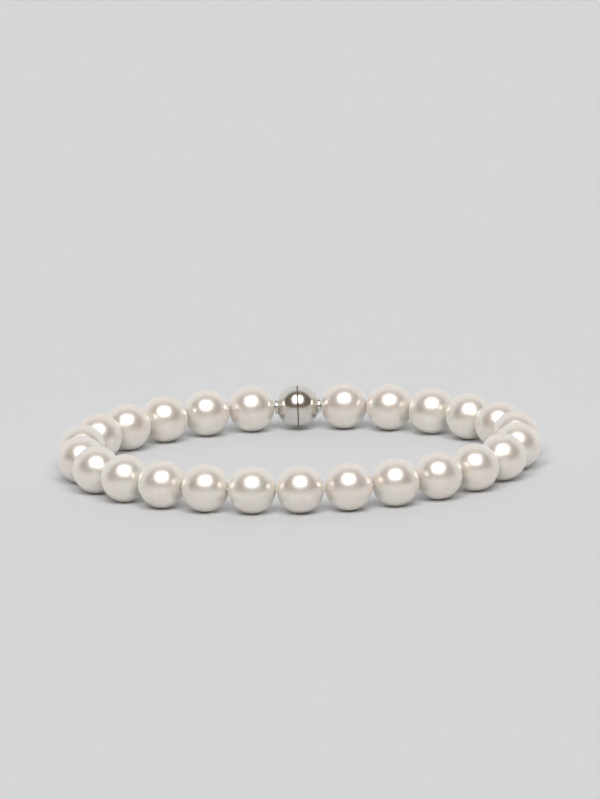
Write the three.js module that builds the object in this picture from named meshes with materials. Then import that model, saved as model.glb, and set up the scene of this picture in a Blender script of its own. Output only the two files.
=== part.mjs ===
// Pearl bracelet: a closed loop of equal round pearls on one thread, joined by a plain ball clasp.
// Millimetres, +Z up. The loop lies flat on z = 0 with the front pearl at -Y and the clasp at +Y.
import * as THREE from "three";

// Loop: the line that every bore lies on, a wrist-shaped oval, and the units that share it equally.
const LOOP_HALF_WIDTH = 32.55;
const LOOP_HALF_DEPTH = 25.68;
const UNITS = 26; // twenty-five pearls and the clasp
const ARC_SAMPLES = 4000; // samples for measuring length along the oval

// Pearls
const PEARL_DIAMETER = 7.0;
const BORE_DIAMETER = 0.6;
const PEARL_ARC_STEPS = 10; // even, so that one ring of points lies on the pearl's widest circle
const ROUND_SIDES = 16; // a multiple of four, so that one column of points is the lowest

// Thread
const THREAD_DIAMETER = 0.5;
const THREAD_SIDES = 8;
const STEPS_PER_UNIT = 3;

// Clasp: a ball that screws together at a fine seam, with a collar and a socket at each end
const CLASP_DIAMETER = 6.4;
const COLLAR_DIAMETER = 2.2;
const COLLAR_REACH = 3.42; // from the clasp's middle to the end of a collar
const SOCKET_DIAMETER = 1.0;
const SOCKET_FLOOR = 0.8; // from the clasp's middle to the floor of a socket
const SEAM_WIDTH = 0.2;
const SEAM_DEPTH = 0.1;
const CLASP_ARC_STEPS = 6; // along each half of the ball

const PEARL_RADIUS = PEARL_DIAMETER / 2;
const BORE_RADIUS = BORE_DIAMETER / 2;
const QUARTER_TURN = Math.PI / 2;

const nacre = () => new THREE.MeshStandardMaterial({ color: 0xe9e2d8, roughness: 0.18, metalness: 0 });
const silk = () => new THREE.MeshStandardMaterial({ color: 0xefe9dc, roughness: 0.8, metalness: 0 });
const silver = () => new THREE.MeshStandardMaterial({ color: 0xd6d6d8, roughness: 0.15, metalness: 1 });

// Points of a circle of the given radius about the axis, from one height along the axis to another.
// Each is (distance from the axis, height).
function arcBetween(radius, fromHeight, toHeight, steps) {
  const from = Math.acos(fromHeight / radius);
  const to = Math.acos(toHeight / radius);
  return Array.from({ length: steps + 1 }, (_, i) => {
    const angle = from + ((to - from) * i) / steps;
    return new THREE.Vector2(radius * Math.sin(angle), radius * Math.cos(angle));
  });
}

// A solid of revolution with its axis along X and one column of points straight down.
function turned(profile) {
  return new THREE.LatheGeometry(profile, ROUND_SIDES).rotateZ(-QUARTER_TURN);
}

// The middle of each unit, the clasp's first, at equal lengths along the oval.
function unitCentres() {
  const oval = new THREE.EllipseCurve(
    0, 0, LOOP_HALF_WIDTH, LOOP_HALF_DEPTH, QUARTER_TURN, QUARTER_TURN + 2 * Math.PI,
  );
  oval.arcLengthDivisions = ARC_SAMPLES;
  return oval
    .getSpacedPoints(UNITS)
    .slice(0, UNITS)
    .map((p) => new THREE.Vector3(p.x, p.y, PEARL_RADIUS));
}

// Each unit's place and its bore's direction, which runs parallel to the line between its neighbours.
function unitPlaces() {
  const centres = unitCentres();
  return centres.map((centre, i) => {
    const before = centres[(i + UNITS - 1) % UNITS];
    const after = centres[(i + 1) % UNITS];
    return { centre, along: after.clone().sub(before).normalize() };
  });
}

// A ball with a straight bore: the round outside, closed by the bore's wall.
function pearlGeometry() {
  const mouth = Math.sqrt(PEARL_RADIUS ** 2 - BORE_RADIUS ** 2);
  const outside = arcBetween(PEARL_RADIUS, -mouth, mouth, PEARL_ARC_STEPS);
  return turned([...outside, outside[0].clone()]);
}

// The clasp from end to end: socket, collar, half ball, seam, half ball, collar, socket.
function claspGeometry() {
  const ball = CLASP_DIAMETER / 2;
  const collar = COLLAR_DIAMETER / 2;
  const socket = SOCKET_DIAMETER / 2;
  const shoulder = Math.sqrt(ball ** 2 - collar ** 2);
  const halfEnd = [
    new THREE.Vector2(0, -SOCKET_FLOOR),
    new THREE.Vector2(socket, -SOCKET_FLOOR),
    new THREE.Vector2(socket, -COLLAR_REACH),
    new THREE.Vector2(collar, -COLLAR_REACH),
    ...arcBetween(ball, -shoulder, -SEAM_WIDTH / 2, CLASP_ARC_STEPS),
  ];
  const seamFloor = new THREE.Vector2(ball - SEAM_DEPTH, 0);
  const otherEnd = halfEnd.map((p) => new THREE.Vector2(p.x, -p.y)).reverse();
  return turned([...halfEnd, seamFloor, ...otherEnd]);
}

// Where the bore lines of two neighbouring units cross, which is where the thread bends.
function crossing(a, b) {
  const gap = b.centre.clone().sub(a.centre);
  const cross = (p, q) => p.x * q.y - p.y * q.x;
  const reach = cross(gap, b.along) / cross(a.along, b.along);
  return a.centre.clone().addScaledVector(a.along, reach);
}

// The thread's route: straight through each bore, from the clasp's far socket round to its near one.
function threadRoute(places) {
  const bends = places.map((place, i) => crossing(place, places[(i + 1) % UNITS]));
  const clasp = places[0];
  const intoSocket = (2 * clasp.centre.distanceTo(bends[0])) / STEPS_PER_UNIT;
  const first = bends[0].clone().addScaledVector(clasp.along, -intoSocket);
  const last = bends[UNITS - 1].clone().addScaledVector(clasp.along, intoSocket);
  const stops = [first, ...bends, last];
  const route = new THREE.CurvePath();
  stops.slice(1).forEach((stop, i) => route.add(new THREE.LineCurve3(stops[i], stop)));
  return route;
}

function threadGeometry(places) {
  const section = new THREE.Shape().absarc(0, 0, THREAD_DIAMETER / 2, 0, 2 * Math.PI);
  return new THREE.ExtrudeGeometry(section, {
    steps: UNITS * STEPS_PER_UNIT - 1,
    curveSegments: THREAD_SIDES / 2, // a full circle has two points for each of these
    extrudePath: threadRoute(places),
  });
}

function placed(name, geometry, material, place) {
  const mesh = new THREE.Mesh(geometry, material);
  mesh.name = name;
  mesh.position.copy(place.centre);
  mesh.rotation.z = Math.atan2(place.along.y, place.along.x);
  return mesh;
}

function bracelet() {
  const group = new THREE.Group();
  const places = unitPlaces();
  const pearl = pearlGeometry();
  places.slice(1).forEach((place, i) => {
    group.add(placed(`pearl_${String(i + 1).padStart(2, "0")}`, pearl, nacre(), place));
  });
  group.add(placed("clasp", claspGeometry(), silver(), places[0]));
  const thread = new THREE.Mesh(threadGeometry(places), silk());
  thread.name = "thread";
  group.add(thread);
  return group;
}

export default bracelet();
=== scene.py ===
"""Looks of a pearl bracelet: drilled pearls side by side on one thread, closed by a ball clasp.

The bracelet lies on a plain pale floor, between a white sweep and a dim room, under one soft box.
"""

import logging
import math
from dataclasses import dataclass
from enum import Enum
from typing import Any

import bpy
import numpy as np
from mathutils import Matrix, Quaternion, Vector


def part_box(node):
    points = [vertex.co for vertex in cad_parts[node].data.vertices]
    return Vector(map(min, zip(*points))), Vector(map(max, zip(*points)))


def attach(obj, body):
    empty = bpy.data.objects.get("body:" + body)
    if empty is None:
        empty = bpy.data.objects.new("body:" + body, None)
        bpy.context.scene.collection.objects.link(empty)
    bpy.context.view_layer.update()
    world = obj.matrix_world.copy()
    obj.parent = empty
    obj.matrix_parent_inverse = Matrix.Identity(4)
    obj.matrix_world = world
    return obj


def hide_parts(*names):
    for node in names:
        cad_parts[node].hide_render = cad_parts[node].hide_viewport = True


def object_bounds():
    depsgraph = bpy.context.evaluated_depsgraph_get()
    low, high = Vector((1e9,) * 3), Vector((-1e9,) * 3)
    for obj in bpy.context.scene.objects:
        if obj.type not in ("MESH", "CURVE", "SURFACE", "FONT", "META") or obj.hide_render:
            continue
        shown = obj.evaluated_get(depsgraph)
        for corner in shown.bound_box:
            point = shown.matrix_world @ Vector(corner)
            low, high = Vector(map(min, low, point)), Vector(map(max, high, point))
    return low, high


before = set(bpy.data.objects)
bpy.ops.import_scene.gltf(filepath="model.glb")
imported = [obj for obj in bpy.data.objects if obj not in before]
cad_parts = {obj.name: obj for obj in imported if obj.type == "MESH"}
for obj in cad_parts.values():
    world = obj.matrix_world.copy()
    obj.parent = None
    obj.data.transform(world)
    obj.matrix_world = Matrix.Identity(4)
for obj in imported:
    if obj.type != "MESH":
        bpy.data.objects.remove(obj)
CAD_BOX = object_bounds()

LOG = logging.getLogger("bracelet")
BODY = "root"
MM = 0.001
TAU = 2 * math.pi
UP = Vector((0, 0, 1))
RIGHT = Vector((1, 0, 0))
Array = np.ndarray

# A Mix node has one set of sockets for each data type, with the same names, so they go by number.
FLOAT_A, FLOAT_B, FLOAT_RESULT = 2, 3, 0
COLOUR_A, COLOUR_B, COLOUR_RESULT = 6, 7, 2


# ---------------------------------------------------------------- names and small helpers


class Slot(Enum):
    """The record's material slots."""

    NACRE = "nacre"
    SILK = "silk"
    SILVER = "silver"


class Closing(Enum):
    """How the first and the last row of a grid of points are closed."""

    LOOP = "the last row joins the first"
    MIDDLES = "each end row is filled to its middle"
    OPEN = "both end rows stay open"


def linear(code: str) -> tuple[float, float, float, float]:
    """Turn an sRGB hex colour into linear red, green and blue with an alpha of one.

    Args:
        code: six hex digits.

    Returns:
        The colour as Blender's sockets take it.
    """
    parts = np.array([int(code[i : i + 2], 16) for i in (0, 2, 4)]) / 255
    low = parts / 12.92
    high = ((parts + 0.055) / 1.055) ** 2.4
    return (*np.where(parts <= 0.04045, low, high).tolist(), 1.0)


def add_node(
    tree: bpy.types.NodeTree,
    kind: str,
    settings: dict[str | int, Any] | None = None,
    links: dict[str | int, bpy.types.NodeSocket] | None = None,
) -> bpy.types.Node:
    """Add one node with its settings and the links into it.

    Args:
        tree: the tree that gets the node.
        kind: Blender's name for the type of node.
        settings: values by the name of a property of the node, or else by the name or number of an input.
        links: outputs of other nodes by the name or number of this node's input.

    Returns:
        The new node.
    """
    node = tree.nodes.new(kind)
    for name, value in (settings or {}).items():
        if isinstance(name, str) and hasattr(node, name):
            setattr(node, name, value)
        else:
            node.inputs[name].default_value = value
    for name, output in (links or {}).items():
        tree.links.new(output, node.inputs[name])
    return node


def empty_material(name: str) -> tuple[bpy.types.Material, bpy.types.NodeTree]:
    """Make a material whose node tree is still empty.

    Args:
        name: the finish's name.

    Returns:
        The material and its tree.
    """
    material = bpy.data.materials.new(name)
    material.use_nodes = True
    material.node_tree.nodes.clear()
    return material, material.node_tree


def unit(vectors: Array) -> Array:
    """Scale vectors along the last axis to length one."""
    return vectors / np.linalg.norm(vectors, axis=-1, keepdims=True)


def flat_cross(a: Array, b: Array) -> Array:
    """Give the upward part of the cross product of level vectors: ax * by - ay * bx."""
    return a[:, 0] * b[:, 1] - a[:, 1] * b[:, 0]


def radius_of(node: str) -> float:
    """Give half the height of a CAD node's box, which is the radius of a thing that lies level."""
    low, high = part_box(node)
    return (high.z - low.z) / 2


# ---------------------------------------------------------------- surfaces on grids


def grid_faces(rows: int, columns: int, closing: Closing) -> list[list[int]]:
    """Number the faces of a grid of points whose every row is a closed ring.

    Face (i, j) joins points (i, j), (i, j + 1), (i + 1, j + 1) and (i + 1, j), with j counted round.

    Args:
        rows: number of rings.
        columns: number of points in a ring.
        closing: how the end rings are closed.

    Returns:
        The corner numbers of each face.
    """
    steps = rows if closing is Closing.LOOP else rows - 1
    i, j = np.meshgrid(np.arange(steps), np.arange(columns), indexing="ij")
    below, right = (i + 1) % rows, (j + 1) % columns
    corners = [i * columns + j, i * columns + right, below * columns + right, below * columns + j]
    faces = np.stack(corners, -1).reshape(-1, 4).tolist()
    if closing is Closing.MIDDLES:
        ring = np.arange(columns)
        after = (ring + 1) % columns
        last = (rows - 1) * columns
        first_middle = np.full(columns, rows * columns)
        faces += np.stack([after, ring, first_middle], -1).tolist()
        faces += np.stack([last + ring, last + after, first_middle + 1], -1).tolist()
    return faces


def enclosed_volume(points: Array, faces: list[list[int]]) -> float:
    """Add up the signed volumes of the pyramids from the origin to each face, cut into triangles.

    Args:
        points: the corners, as rows of x, y and z.
        faces: corner numbers of each face.

    Returns:
        The volume, below zero where the faces point inwards.
    """
    triangles = np.array([(f[0], f[k], f[k + 1]) for f in faces for k in range(1, len(f) - 1)])
    a, b, c = (points[triangles[:, k]] for k in range(3))
    return float((a * np.cross(b, c)).sum() / 6)


def grid_piece(
    name: str,
    grid: Array,
    closing: Closing,
    marks: dict[str, Array] | None = None,
) -> bpy.types.Object:
    """Put a grid of points into a smooth mesh object at the origin, with its faces outwards.

    Args:
        name: the piece's name.
        grid: points as rows, columns and x, y, z.
        closing: how the end rings are closed.
        marks: a number for each point of the grid, by the name that the finish reads it under.

    Returns:
        The new object.
    """
    rows, columns = grid.shape[:2]
    points = grid.reshape(-1, 3)
    if closing is Closing.MIDDLES:
        points = np.vstack([points, grid[0].mean(0), grid[-1].mean(0)])
    faces = grid_faces(rows, columns, closing)
    if closing is not Closing.OPEN and enclosed_volume(points, faces) < 0:
        faces = [face[::-1] for face in faces]
    mesh = bpy.data.meshes.new(name)
    mesh.from_pydata(points.tolist(), [], faces)
    mesh.polygons.foreach_set("use_smooth", np.ones(len(faces), bool))
    for mark, values in (marks or {}).items():
        full = np.zeros(len(points), np.float32)
        full[: rows * columns] = values.ravel()
        mesh.attributes.new(mark, "FLOAT", "POINT").data.foreach_set("value", full)
    mesh.update()
    piece = bpy.data.objects.new(name, mesh)
    bpy.context.scene.collection.objects.link(piece)
    return piece


def turned(profile: Array, sides: int, centre: Array, axis: Array) -> Array:
    """Turn a profile about a level axis.

    A point (r, h) of the profile at the angle a lands at
    centre + h * axis + r * (cos a * up + sin a * across).

    Args:
        profile: rows of distance from the axis and height along it.
        sides: points round the axis.
        centre: the point that heights are counted from.
        axis: the direction of the axis, of length one.

    Returns:
        The grid of points.
    """
    up = np.array(UP)
    across = np.cross(axis, up)
    angle = np.arange(sides) * TAU / sides
    spoke = np.cos(angle)[:, None] * up + np.sin(angle)[:, None] * across
    return centre + profile[:, 1, None, None] * axis + profile[:, 0, None, None] * spoke


def arc(middle: tuple[float, float], radius: float, start: float, end: float, steps: int) -> Array:
    """Make an arc of a profile: middle + radius * (sin t, cos t), with t counted from the axis in radians.

    Args:
        middle: the arc's middle, as distance from the axis and height.
        radius: the arc's radius.
        start: first angle.
        end: last angle.
        steps: number of steps between them.

    Returns:
        The points, as rows of distance and height.
    """
    t = np.linspace(start, end, steps + 1)
    return np.array(middle) + radius * np.stack([np.sin(t), np.cos(t)], -1)


# ---------------------------------------------------------------- finishes


@dataclass(frozen=True)
class Nacre:
    """Nacre of a high-lustre round pearl: stacked aragonite plates, grown in water and then tumbled.

    The plates return a soft mirror image from just under the surface, over a warm white body that light
    enters a little way. The image stays broad and blurred, and the pearl's edge turns pale.
    """

    cream: str = "F5F0E7"
    rose: str = "F5EDE6"
    chalk: str = "EFE6D8"  # cut nacre round the drill hole
    tone_mm: float = 16.0  # width of the slow change between cream and rose
    cloud_mm: float = 2.2
    cloud_share: float = 0.35  # the clouds' part in the colour; the slow change has the rest
    lean_low: float = 0.35  # noise value that is all cream
    lean_high: float = 0.65  # noise value that is all rose
    plates_share: float = 0.66  # light that the plates mirror
    aragonite_ior: float = 1.56
    roughness: float = 0.35
    roughness_spread: float = 0.02
    cut_roughness: float = 0.7
    ripple_mm: float = 0.45
    ripple_height_mm: float = 0.0009
    glow: float = 0.9  # share of the body's light that spreads under the surface
    glow_mm: float = 2.0
    glow_reach: tuple[float, float, float] = (1.0, 0.75, 0.55)  # how far red, green and blue spread
    bloom: float = 0.5
    bloom_roughness: float = 0.4
    coat: float = 0.5
    coat_roughness: float = 0.28

    def material(self) -> bpy.types.Material:
        """Build the material, which reads the mark "hole" for the cut nacre round the drill hole.

        Returns:
            The material.
        """
        material, tree = empty_material("Nacre_high_lustre")
        place = add_node(tree, "ShaderNodeTexCoord").outputs["Object"]
        hole = add_node(tree, "ShaderNodeAttribute", {"attribute_name": "hole"}).outputs["Fac"]
        # Overtone: each pearl leans to cream or to rose, and a finer cloud breaks that up within it.
        tone = add_node(
            tree,
            "ShaderNodeTexNoise",
            {"Scale": 1 / (self.tone_mm * MM), "Detail": 1.0},
            {"Vector": place},
        )
        cloud = add_node(
            tree,
            "ShaderNodeTexNoise",
            {"Scale": 1 / (self.cloud_mm * MM), "Detail": 3.0},
            {"Vector": place},
        )
        lean = add_node(
            tree,
            "ShaderNodeMix",
            {"data_type": "FLOAT", "Factor": self.cloud_share},
            {FLOAT_A: tone.outputs["Fac"], FLOAT_B: cloud.outputs["Fac"]},
        )
        spread = add_node(
            tree,
            "ShaderNodeMapRange",
            {"interpolation_type": "SMOOTHSTEP", "From Min": self.lean_low, "From Max": self.lean_high},
            {"Value": lean.outputs[FLOAT_RESULT]},
        )
        body = add_node(
            tree,
            "ShaderNodeMix",
            {"data_type": "RGBA", COLOUR_A: linear(self.cream), COLOUR_B: linear(self.rose)},
            {"Factor": spread.outputs[0]},
        )
        colour = add_node(
            tree,
            "ShaderNodeMix",
            {"data_type": "RGBA", COLOUR_B: linear(self.chalk)},
            {"Factor": hole, COLOUR_A: body.outputs[COLOUR_RESULT]},
        )
        # Gloss: polished all over, a little less so in the clouds, and matt where the drill cut the plates.
        gloss = add_node(
            tree,
            "ShaderNodeMapRange",
            {
                "To Min": self.roughness - self.roughness_spread,
                "To Max": self.roughness + self.roughness_spread,
            },
            {"Value": cloud.outputs["Fac"]},
        )
        rough = add_node(
            tree,
            "ShaderNodeMix",
            {"data_type": "FLOAT", FLOAT_B: self.cut_roughness},
            {"Factor": hole, FLOAT_A: gloss.outputs[0]},
        )
        # Terraces of the growth front: ripples of under a micrometre that soften the mirror image.
        ripple = add_node(
            tree,
            "ShaderNodeTexNoise",
            {"Scale": 1 / (self.ripple_mm * MM), "Detail": 2.0},
            {"Vector": place},
        )
        bump = add_node(
            tree,
            "ShaderNodeBump",
            {"Strength": 1.0, "Distance": self.ripple_height_mm * MM},
            {"Height": ripple.outputs["Fac"]},
        )
        # The plates count as metal for their share, since they mirror in the body's own colour. Light that
        # gets past them spreads under the surface, and the bloom and the coat are the edge's pale haze and
        # the polish.
        shader = add_node(
            tree,
            "ShaderNodeBsdfPrincipled",
            {
                "Metallic": self.plates_share,
                "IOR": self.aragonite_ior,
                "Subsurface Weight": self.glow,
                "Subsurface Radius": self.glow_reach,
                "Subsurface Scale": self.glow_mm * MM,
                "Sheen Weight": self.bloom,
                "Sheen Roughness": self.bloom_roughness,
                "Coat Weight": self.coat,
                "Coat Roughness": self.coat_roughness,
            },
            {
                "Base Color": colour.outputs[COLOUR_RESULT],
                "Roughness": rough.outputs[FLOAT_RESULT],
                "Normal": bump.outputs[0],
            },
        )
        add_node(tree, "ShaderNodeOutputMaterial", None, {"Surface": shader.outputs[0]})
        return material


@dataclass(frozen=True)
class SilkThread:
    """Undyed bead silk, spun and then twisted from three plies.

    Long smooth filaments give a soft off-white line with a faint gloss. The valleys between the plies are
    painted darker, as painted shade standing in for the shadow that falls into them.
    """

    light: str = "F6F2E8"
    # painted shade: the darker colour of the valleys between the plies, standing in for their shadow
    painted_groove_shade: str = "DDD4C2"
    fibre_mm: float = 0.06
    fibre_height_mm: float = 0.01
    fibre_strength: float = 0.6
    roughness: float = 0.55
    silk_ior: float = 1.54
    fuzz: float = 0.3
    fuzz_roughness: float = 0.4

    def material(self) -> bpy.types.Material:
        """Build the material, which reads the mark "groove" for the painted shade in the valleys between the
        plies.

        Returns:
            The material.
        """
        material, tree = empty_material("Silk_twisted")
        place = add_node(tree, "ShaderNodeTexCoord").outputs["Object"]
        groove = add_node(tree, "ShaderNodeAttribute", {"attribute_name": "groove"}).outputs["Fac"]
        # Filaments are too fine to show, so the noise is drawn as coarse as a bundle of them.
        fibre = add_node(
            tree,
            "ShaderNodeTexNoise",
            {"Scale": 1 / (self.fibre_mm * MM), "Detail": 2.0},
            {"Vector": place},
        )
        # Painted shade: the valleys between the plies are darkened, standing in for the shadow that falls
        # into them.
        colour = add_node(
            tree,
            "ShaderNodeMix",
            {"data_type": "RGBA", COLOUR_A: linear(self.light), COLOUR_B: linear(self.painted_groove_shade)},
            {"Factor": groove},
        )
        bump = add_node(
            tree,
            "ShaderNodeBump",
            {"Strength": self.fibre_strength, "Distance": self.fibre_height_mm * MM},
            {"Height": fibre.outputs["Fac"]},
        )
        shader = add_node(
            tree,
            "ShaderNodeBsdfPrincipled",
            {
                "Roughness": self.roughness,
                "IOR": self.silk_ior,
                "Sheen Weight": self.fuzz,
                "Sheen Roughness": self.fuzz_roughness,
            },
            {"Base Color": colour.outputs[COLOUR_RESULT], "Normal": bump.outputs[0]},
        )
        add_node(tree, "ShaderNodeOutputMaterial", None, {"Surface": shader.outputs[0]})
        return material


@dataclass(frozen=True)
class SterlingSilver:
    """Sterling silver, spun into cups and buffed.

    It is bright and a little warm, with a mirror image that fine buffing marks blur unevenly, and it is
    dull and darker in the seam and the sockets, where no buffing reaches.
    """

    bright: str = "E4E1DB"
    tarnish: str = "8F877A"
    hairline_mm: float = 0.12
    hairline_bend: float = 1.5
    finest: float = 0.16  # roughness where the buffing is best
    coarsest: float = 0.30

    def material(self) -> bpy.types.Material:
        """Build the material, which reads the mark "seam" for the dull metal.

        Returns:
            The material.
        """
        material, tree = empty_material("Sterling_silver_buffed")
        place = add_node(tree, "ShaderNodeTexCoord").outputs["Object"]
        seam = add_node(tree, "ShaderNodeAttribute", {"attribute_name": "seam"}).outputs["Fac"]
        # Buffing marks are too fine to show, so they are drawn as patches of more and less gloss.
        wear = add_node(
            tree,
            "ShaderNodeTexNoise",
            {"Scale": 1 / (self.hairline_mm * MM), "Detail": 4.0, "Distortion": self.hairline_bend},
            {"Vector": place},
        )
        colour = add_node(
            tree,
            "ShaderNodeMix",
            {"data_type": "RGBA", COLOUR_A: linear(self.bright), COLOUR_B: linear(self.tarnish)},
            {"Factor": seam},
        )
        gloss = add_node(
            tree,
            "ShaderNodeMapRange",
            {"To Min": self.finest, "To Max": self.coarsest},
            {"Value": wear.outputs["Fac"]},
        )
        shader = add_node(
            tree,
            "ShaderNodeBsdfPrincipled",
            {"Metallic": 1.0},
            {"Base Color": colour.outputs[COLOUR_RESULT], "Roughness": gloss.outputs[0]},
        )
        add_node(tree, "ShaderNodeOutputMaterial", None, {"Surface": shader.outputs[0]})
        return material


@dataclass(frozen=True)
class MattPaper:
    """Matt backdrop paper, uncoated: an even pale surface with no gloss."""

    pale: str = "D6D8DA"
    roughness: float = 0.9
    specular: float = 0.2

    def material(self) -> bpy.types.Material:
        """Build the material.

        Returns:
            The material.
        """
        material, tree = empty_material("Backdrop_paper_matt")
        settings = {
            "Base Color": linear(self.pale),
            "Roughness": self.roughness,
            "Specular IOR Level": self.specular,
        }
        shader = add_node(tree, "ShaderNodeBsdfPrincipled", settings)
        add_node(tree, "ShaderNodeOutputMaterial", None, {"Surface": shader.outputs[0]})
        return material


# ---------------------------------------------------------------- the bracelet


@dataclass(frozen=True)
class Place:
    """Where one unit of the string sits, and the direction of its bore."""

    node: str
    centre: Array
    along: Array

    @staticmethod
    def of_all(nodes: list[str]) -> list["Place"]:
        """Work out every unit's place from the frame.

        Each bore runs parallel to the line between the unit's neighbours.

        Args:
            nodes: the CAD nodes in their order round the loop.

        Returns:
            One place for each node.
        """
        centres = np.array([(np.array(low) + np.array(high)) / 2 for low, high in map(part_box, nodes)])
        along = unit(np.roll(centres, -1, 0) - np.roll(centres, 1, 0))
        return [Place(*one) for one in zip(nodes, centres, along)]


def dress(piece: bpy.types.Object, node: str, material: bpy.types.Material) -> bpy.types.Object:
    """Give a piece its finish and tie it to the CAD node that it stands for.

    Args:
        piece: the finished piece.
        node: the CAD node.
        material: the finish.

    Returns:
        The piece.
    """
    piece.data.materials.append(material)
    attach(piece, BODY)
    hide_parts(node)
    return piece


@dataclass
class PearlString:
    """All the pearls: near-perfect balls with a straight drill hole whose lip is slightly rounded."""

    places: list[Place]
    finish: Nacre
    bore: float = 0.6 * MM
    lip: float = 0.025 * MM
    cut_reach: float = 2.5  # lips' radii from the bore's wall to the end of the cut nacre
    out_of_round: float = 0.0022  # most that a pearl departs from a ball, as a share of its radius
    wave_scales: tuple[float, ...] = (1.8, 2.6, 3.4)  # radians from a pearl's middle to its surface
    wave_shares: tuple[float, ...] = (0.5, 0.3, 0.2)
    outside_steps: int = 72
    lip_steps: int = 5
    wall_steps: int = 5
    sides: int = 72
    seed: int = 7

    def profile(self, radius: float) -> Array:
        """Draw one pearl's closed profile: the ball's outside, the lip, the bore's wall and the other lip.

        The lip is an arc that touches the ball from inside and the bore's wall: its middle lies one lip's
        radius outside the wall, and the ball's radius less one lip's from the pearl's middle.

        Args:
            radius: the pearl's radius.

        Returns:
            The points, as rows of distance from the axis and height.
        """
        out = self.bore / 2 + self.lip
        height = math.sqrt((radius - self.lip) ** 2 - out**2)
        tilt = math.atan2(out, height)
        outside = arc((0, 0), radius, tilt, math.pi - tilt, self.outside_steps)
        low_lip = arc((out, -height), self.lip, math.pi - tilt, 1.5 * math.pi, self.lip_steps)
        high_lip = arc((out, height), self.lip, 1.5 * math.pi, TAU + tilt, self.lip_steps)
        rise = np.linspace(-height, height, self.wall_steps + 1)[1:-1]
        wall = np.stack([np.full(len(rise), self.bore / 2), rise], -1)
        return np.vstack([outside, low_lip[1:], wall, high_lip[:-1]])

    def growth(self, directions: Array, rng: np.random.Generator) -> Array:
        """Give a pearl's slight departure from round, as a share of its radius.

        It is a sum of slow waves, each the sine of a scaled distance along its own direction.

        Args:
            directions: directions from the pearl's middle, of length one.
            rng: the source of the waves' directions and starts.

        Returns:
            The share for each direction.
        """
        scales = np.array(self.wave_scales)[:, None]
        ways = unit(rng.normal(size=(len(scales), 3))) * scales
        starts = rng.uniform(0, TAU, len(scales))
        waves = np.sin(directions @ ways.T + starts) @ np.array(self.wave_shares)
        return self.out_of_round * waves

    def build(self) -> list[bpy.types.Object]:
        """Build and dress every pearl.

        Returns:
            The pearls, in their order round the loop.
        """
        rng = np.random.default_rng(self.seed)
        material = self.finish.material()
        return [self.pearl(place, rng, material) for place in self.places]

    def pearl(self, place: Place, rng: np.random.Generator, material: bpy.types.Material) -> bpy.types.Object:
        """Build one pearl, with the mark "hole" fading from one at the bore to nought outside the lip.

        Args:
            place: where it sits.
            rng: the source of its departure from round.
            material: the nacre.

        Returns:
            The dressed piece.
        """
        profile = self.profile(radius_of(place.node))
        grid = turned(profile, self.sides, place.centre, place.along)
        spokes = grid - place.centre
        length = np.linalg.norm(spokes, axis=-1, keepdims=True)
        grid = place.centre + spokes * (1 + self.growth(spokes / length, rng)[..., None])
        near_hole = np.clip(1 - (profile[:, 0] - self.bore / 2) / (self.cut_reach * self.lip), 0, 1)
        marks = {"hole": np.repeat(near_hole[:, None], self.sides, 1)}
        piece = grid_piece(f"{place.node}_nacre", grid, Closing.LOOP, marks)
        return dress(piece, place.node, material)


@dataclass
class BallClasp:
    """One plain ball clasp: two cups that meet at a fine seam, with a collar and a socket at each end."""

    place: Place
    finish: SterlingSilver
    collar: float = 2.2 * MM
    socket: float = 1.0 * MM
    socket_floor: float = 0.8 * MM
    lip: float = 0.12 * MM
    fillet: float = 0.16 * MM
    seam_half: float = 0.08 * MM  # half the seam's width
    seam_depth: float = 0.08 * MM
    seam_shade: float = 0.104 * MM  # how far from the seam's middle the metal stays dull
    socket_dullness: float = 0.6
    ball_steps: int = 40
    lip_steps: int = 4
    fillet_steps: int = 5
    seam_steps: int = 8
    sides: int = 96

    def half(self, radius: float, reach: float) -> Array:
        """Draw the profile from one socket's floor to the edge of the seam.

        Args:
            radius: the ball's radius.
            reach: from the ball's middle to the end of a collar.

        Returns:
            The points, as rows of distance from the axis and height, from the lowest height up.
        """
        hole, rim = self.socket / 2, self.collar / 2
        floor = np.array([[hole, -self.socket_floor]])
        bottom = self.lip - reach
        inner = arc((hole + self.lip, bottom), self.lip, 1.5 * math.pi, math.pi, self.lip_steps)
        outer = arc((rim - self.lip, bottom), self.lip, math.pi, 0.5 * math.pi, self.lip_steps)
        # The fillet between collar and ball touches both: its middle lies outside the collar by its own
        # radius, and outside the ball by the same.
        out = rim + self.fillet
        height = math.sqrt((radius + self.fillet) ** 2 - out**2)
        tilt = math.atan2(out, height)
        foot = arc((out, -height), self.fillet, 1.5 * math.pi, TAU - tilt, self.fillet_steps)
        edge = math.acos(self.seam_half / radius)
        ball = arc((0, 0), radius, math.pi - tilt, math.pi - edge, self.ball_steps)
        return np.vstack([floor, inner, outer, foot, ball[1:]])

    def build(self) -> bpy.types.Object:
        """Build and dress the clasp: both halves and the rounded seam between them.

        The seam is half an ellipse, sunk into the ball. The mark "seam" is the bell curve
        exp(-(h / shade) ** 2) of the height h along the axis, and even inside the sockets.

        Returns:
            The dressed piece.
        """
        low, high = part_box(self.place.node)
        radius = radius_of(self.place.node)
        half = self.half(radius, (high.x - low.x) / 2)
        turn = np.linspace(0, math.pi, self.seam_steps + 1)[1:-1]
        groove = np.stack([radius - self.seam_depth * np.sin(turn), -self.seam_half * np.cos(turn)], -1)
        profile = np.vstack([half, groove, half[::-1] * (1, -1)])
        grid = turned(profile, self.sides, self.place.centre, self.place.along)
        dull = np.exp(-((profile[:, 1] / self.seam_shade) ** 2))
        dull = np.where(profile[:, 0] < self.collar / 2, self.socket_dullness, dull)
        marks = {"seam": np.repeat(dull[:, None], self.sides, 1)}
        piece = grid_piece("clasp_silver", grid, Closing.MIDDLES, marks)
        return dress(piece, self.place.node, self.finish.material())


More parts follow.
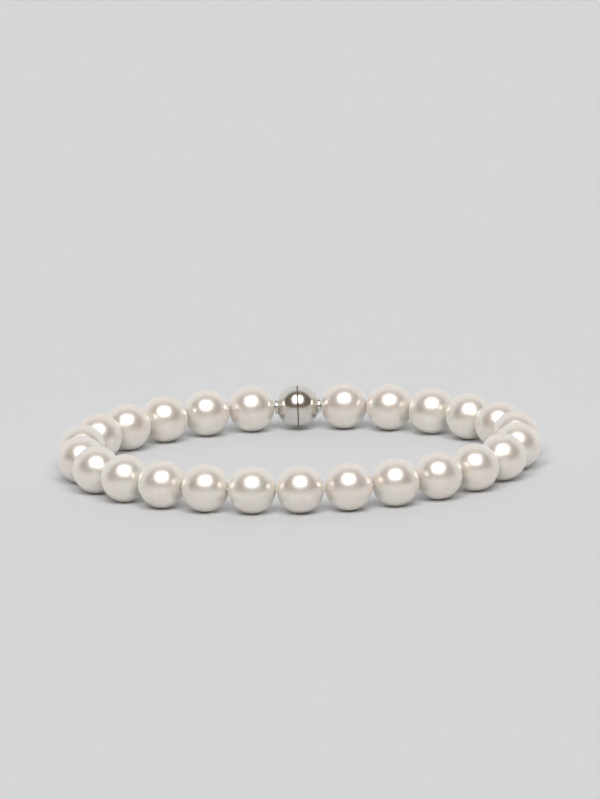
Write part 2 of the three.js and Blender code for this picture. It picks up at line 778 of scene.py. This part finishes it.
@dataclass
class BeadThread:
    """The thread: three plies twisted together, straight through each bore and bent between the pearls."""

    places: list[Place]
    node: str
    finish: SilkThread
    into_socket: float = 2.36 * MM  # from the last bend to the thread's end
    plies: int = 3
    ply_pitch: float = 1.1 * MM  # along the thread, from one ply to the next
    ply_swell: float = 0.1  # depth of the valleys, as a share of the thread's radius
    step: float = 0.12 * MM
    sides: int = 24

    def route(self) -> Array:
        """Work out the thread's middle line as points one step apart.

        The line bends where neighbouring bore lines cross. With p + s * u and q + t * v as the two lines,
        s is the flat cross product of q - p and v over that of u and v. Both ends stop inside the clasp.

        Returns:
            The points, as rows of x, y and z.
        """
        centre = np.array([p.centre for p in self.places])
        along = np.array([p.along for p in self.places])
        gap, after = np.roll(centre, -1, 0) - centre, np.roll(along, -1, 0)
        reach = flat_cross(gap, after) / flat_cross(along, after)
        bends = centre + reach[:, None] * along
        first = bends[0] - self.into_socket * along[0]
        last = bends[-1] + self.into_socket * along[0]
        stops = np.vstack([first, bends, last])
        run = np.concatenate([[0], np.cumsum(np.linalg.norm(np.diff(stops, axis=0), axis=1))])
        even = np.linspace(0, run[-1], round(run[-1] / self.step) + 1)
        return np.stack([np.interp(even, run, stops[:, k]) for k in range(3)], -1)

    def build(self) -> bpy.types.Object:
        """Build and dress the thread.

        At the angle a and the length s along the route, the surface lies at the thread's radius times
        1 - swell * (1 - cos(plies * a - full turn * s / pitch)) / 2, so the plies wind round the middle line.

        Returns:
            The dressed piece.
        """
        line = self.route()
        ahead = unit(np.gradient(line, axis=0))
        up = np.array(UP)
        across = unit(np.cross(ahead, up))
        s = np.arange(len(line))[:, None] * self.step
        a = np.arange(self.sides)[None, :] * TAU / self.sides
        valley = (1 - np.cos(self.plies * a - TAU * s / self.ply_pitch)) / 2
        r = radius_of(self.node) * (1 - self.ply_swell * valley)
        grid = line[:, None] + (r * np.cos(a))[..., None] * up + (r * np.sin(a))[..., None] * across[:, None]
        # The mark "groove" also carries painted shade: the thread's finish darkens the valleys by it.
        piece = grid_piece("thread_silk", grid, Closing.MIDDLES, {"groove": valley})
        return dress(piece, self.node, self.finish.material())


# ---------------------------------------------------------------- the studio


def front_and_up(elevation: float) -> tuple[Vector, Vector]:
    """Give the way from the bracelet to a thing in front of it, and the way that is up for that thing.

    Args:
        elevation: the thing's angle above the horizon in degrees.

    Returns:
        Both directions, of length one.
    """
    tilt = math.radians(elevation)
    return Vector((0, -math.cos(tilt), math.sin(tilt))), Vector((0, math.sin(tilt), math.cos(tilt)))


def along_axis(tree: bpy.types.NodeTree, way: bpy.types.NodeSocket, axis: Vector) -> bpy.types.NodeSocket:
    """Measure a direction along an axis: their dot product.

    Args:
        tree: the tree that gets the node.
        way: the direction.
        axis: the axis.

    Returns:
        The product.
    """
    product = add_node(tree, "ShaderNodeVectorMath", {"operation": "DOT_PRODUCT", 1: axis}, {0: way})
    return product.outputs["Value"]


@dataclass
class Studio:
    """The floor, the light and the camera. All light comes from the world, so the floor is evenly lit."""

    paper: MattPaper
    loop_centre: Vector
    floor_rings: tuple[float, ...] = (0.0005, 0.1, 0.5, 4.5)
    floor_sides: int = 96
    soft_box_elevation: float = 52.1  # degrees, as are the camera's
    soft_box_half_width: float = 0.475  # as a slope from the box's middle
    soft_box_half_height: float = 0.39  # as a slope too
    soft_box_squareness: float = 3.0  # the power p of its outline: 2 is round, and more is squarer
    soft_box_fade: float = 0.35
    soft_box_radiance: float = 4.75
    sweep: str = "FFFFFF"
    sweep_strength: float = 0.76
    room: str = "5B4E44"
    room_strength: float = 1.3
    wall_fade: float = 0.15  # sine of half the angle over which the room turns into the sweep
    far_floor: str = "D5D5D6"
    horizon_low: float = 0.01  # sine of the elevation where the far floor ends
    horizon_high: float = 0.03  # sine of the elevation where the walls are clear
    camera_elevation: float = 13.9
    camera_roll: float = 1.8
    camera_distance: float = 1.187
    lens_mm: float = 360.5
    aim_above: float = 7.0 * MM
    aim_right: float = 0.35 * MM
    clip_end: float = 10.0

    def build_floor(self) -> None:
        """Lay the floor, a flat disc: ring r at the angle a is at (r cos a, r sin a, 0)."""
        ring = np.array(self.floor_rings[::-1])[:, None]
        angle = np.arange(self.floor_sides) * TAU / self.floor_sides
        level = np.zeros((len(ring), len(angle)))
        grid = np.stack([ring * np.cos(angle), ring * np.sin(angle), level], -1)
        floor = grid_piece("floor", grid, Closing.OPEN)
        floor.data.materials.append(self.paper.material())

    def build_walls(self, tree: bpy.types.NodeTree, way: bpy.types.NodeSocket) -> bpy.types.NodeSocket:
        """Colour the studio's walls: a white sweep behind the bracelet and a dim, warm room in front.

        Args:
            tree: the world's tree.
            way: the direction looked in.

        Returns:
            The colour.
        """
        front, _ = front_and_up(self.camera_elevation)
        behind = along_axis(tree, way, -front)
        turn = add_node(
            tree,
            "ShaderNodeMapRange",
            {"interpolation_type": "SMOOTHSTEP", "From Min": -self.wall_fade, "From Max": self.wall_fade},
            {"Value": behind},
        )
        room = [self.room_strength * c for c in linear(self.room)]
        sweep = [self.sweep_strength * c for c in linear(self.sweep)]
        walls = add_node(
            tree,
            "ShaderNodeMix",
            {"data_type": "RGBA", COLOUR_A: room, COLOUR_B: sweep},
            {"Factor": turn.outputs[0]},
        )
        return walls.outputs[COLOUR_RESULT]

    def soft_box(self, tree: bpy.types.NodeTree, way: bpy.types.NodeSocket) -> bpy.types.NodeSocket:
        """Tell where the soft box is: a square with round corners and faint edges, far off above the camera.

        With u and v as the direction's slopes across and up from the box's middle, each over its half size,
        the box is where |u| ** p + |v| ** p is under 1.

        Args:
            tree: the world's tree.
            way: the direction looked in.

        Returns:
            One on the box and nought off it.
        """
        front, up = front_and_up(self.soft_box_elevation)
        ahead = along_axis(tree, way, front)
        powers = []
        for side, half in ((RIGHT, self.soft_box_half_width), (up, self.soft_box_half_height)):
            reach = along_axis(tree, way, side / half)
            slope = add_node(tree, "ShaderNodeMath", {"operation": "DIVIDE"}, {0: reach, 1: ahead})
            size = add_node(tree, "ShaderNodeMath", {"operation": "ABSOLUTE"}, {0: slope.outputs[0]})
            raised = {"operation": "POWER", 1: self.soft_box_squareness}
            powers.append(add_node(tree, "ShaderNodeMath", raised, {0: size.outputs[0]}).outputs[0])
        total = add_node(tree, "ShaderNodeMath", {"operation": "ADD"}, dict(enumerate(powers)))
        fade = {"From Min": 1 + self.soft_box_fade, "From Max": 1 - self.soft_box_fade}
        inside = add_node(
            tree,
            "ShaderNodeMapRange",
            {"interpolation_type": "SMOOTHSTEP", **fade},
            {"Value": total.outputs[0]},
        )
        # The slopes are the same the opposite way, where there is no box.
        facing = add_node(tree, "ShaderNodeMath", {"operation": "GREATER_THAN", 1: 0.0}, {0: ahead})
        both = {0: inside.outputs[0], 1: facing.outputs[0]}
        return add_node(tree, "ShaderNodeMath", {"operation": "MULTIPLY"}, both).outputs[0]

    def build_world(self) -> None:
        """Surround the scene with walls, the soft box, and floor that runs on past the disc's edge."""
        world = bpy.data.worlds.new("studio")
        world.use_nodes = True
        tree = world.node_tree
        tree.nodes.clear()
        way = add_node(tree, "ShaderNodeTexCoord").outputs["Generated"]
        horizon = {"From Min": self.horizon_low, "From Max": self.horizon_high}
        rise = add_node(
            tree,
            "ShaderNodeMapRange",
            {"interpolation_type": "SMOOTHSTEP", **horizon},
            {"Value": along_axis(tree, way, UP)},
        )
        room = add_node(
            tree,
            "ShaderNodeMix",
            {"data_type": "RGBA", COLOUR_A: linear(self.far_floor)},
            {"Factor": rise.outputs[0], COLOUR_B: self.build_walls(tree, way)},
        )
        lit = add_node(
            tree,
            "ShaderNodeMix",
            {"data_type": "RGBA", COLOUR_B: (*[self.soft_box_radiance] * 3, 1.0)},
            {"Factor": self.soft_box(tree, way), COLOUR_A: room.outputs[COLOUR_RESULT]},
        )
        light = add_node(tree, "ShaderNodeBackground", None, {"Color": lit.outputs[COLOUR_RESULT]})
        add_node(tree, "ShaderNodeOutputWorld", None, {"Surface": light.outputs[0]})
        bpy.context.scene.world = world

    def build_camera(self) -> None:
        """Place the camera: in front of the loop and a little above it, aimed just above its middle."""
        data = bpy.data.cameras.new("camera")
        data.lens = self.lens_mm
        data.clip_end = self.clip_end
        camera = bpy.data.objects.new("camera", data)
        front, up = front_and_up(self.camera_elevation)
        camera.location = self.loop_centre + front * self.camera_distance
        aim = self.loop_centre + up * self.aim_above + RIGHT * self.aim_right
        facing = (aim - camera.location).to_track_quat("-Z", "Y")
        camera.rotation_mode = "QUATERNION"
        camera.rotation_quaternion = facing @ Quaternion((0, 0, 1), -math.radians(self.camera_roll))
        bpy.context.scene.collection.objects.link(camera)
        bpy.context.scene.camera = camera
        bpy.context.scene.view_settings.view_transform = "Standard"

    def build(self) -> None:
        """Build the whole studio."""
        self.build_floor()
        self.build_world()
        self.build_camera()


def main() -> None:
    """Build the bracelet, report its pieces, and build the studio round it."""
    logging.basicConfig(level=logging.INFO, format="%(message)s")
    pearls = sorted(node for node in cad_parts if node.startswith("pearl_"))
    places = Place.of_all(["clasp", *pearls])
    pieces = PearlString(places[1:], Nacre()).build()
    pieces.append(BallClasp(places[0], SterlingSilver()).build())
    pieces.append(BeadThread(places, "thread", SilkThread()).build())
    for piece in pieces:
        LOG.info("%s: %d faces, %s", piece.name, len(piece.data.polygons), piece.active_material.name)
    low, high = CAD_BOX
    Studio(MattPaper(), Vector((0, 0, (low.z + high.z) / 2))).build()


if __name__ == "__main__":
    main()
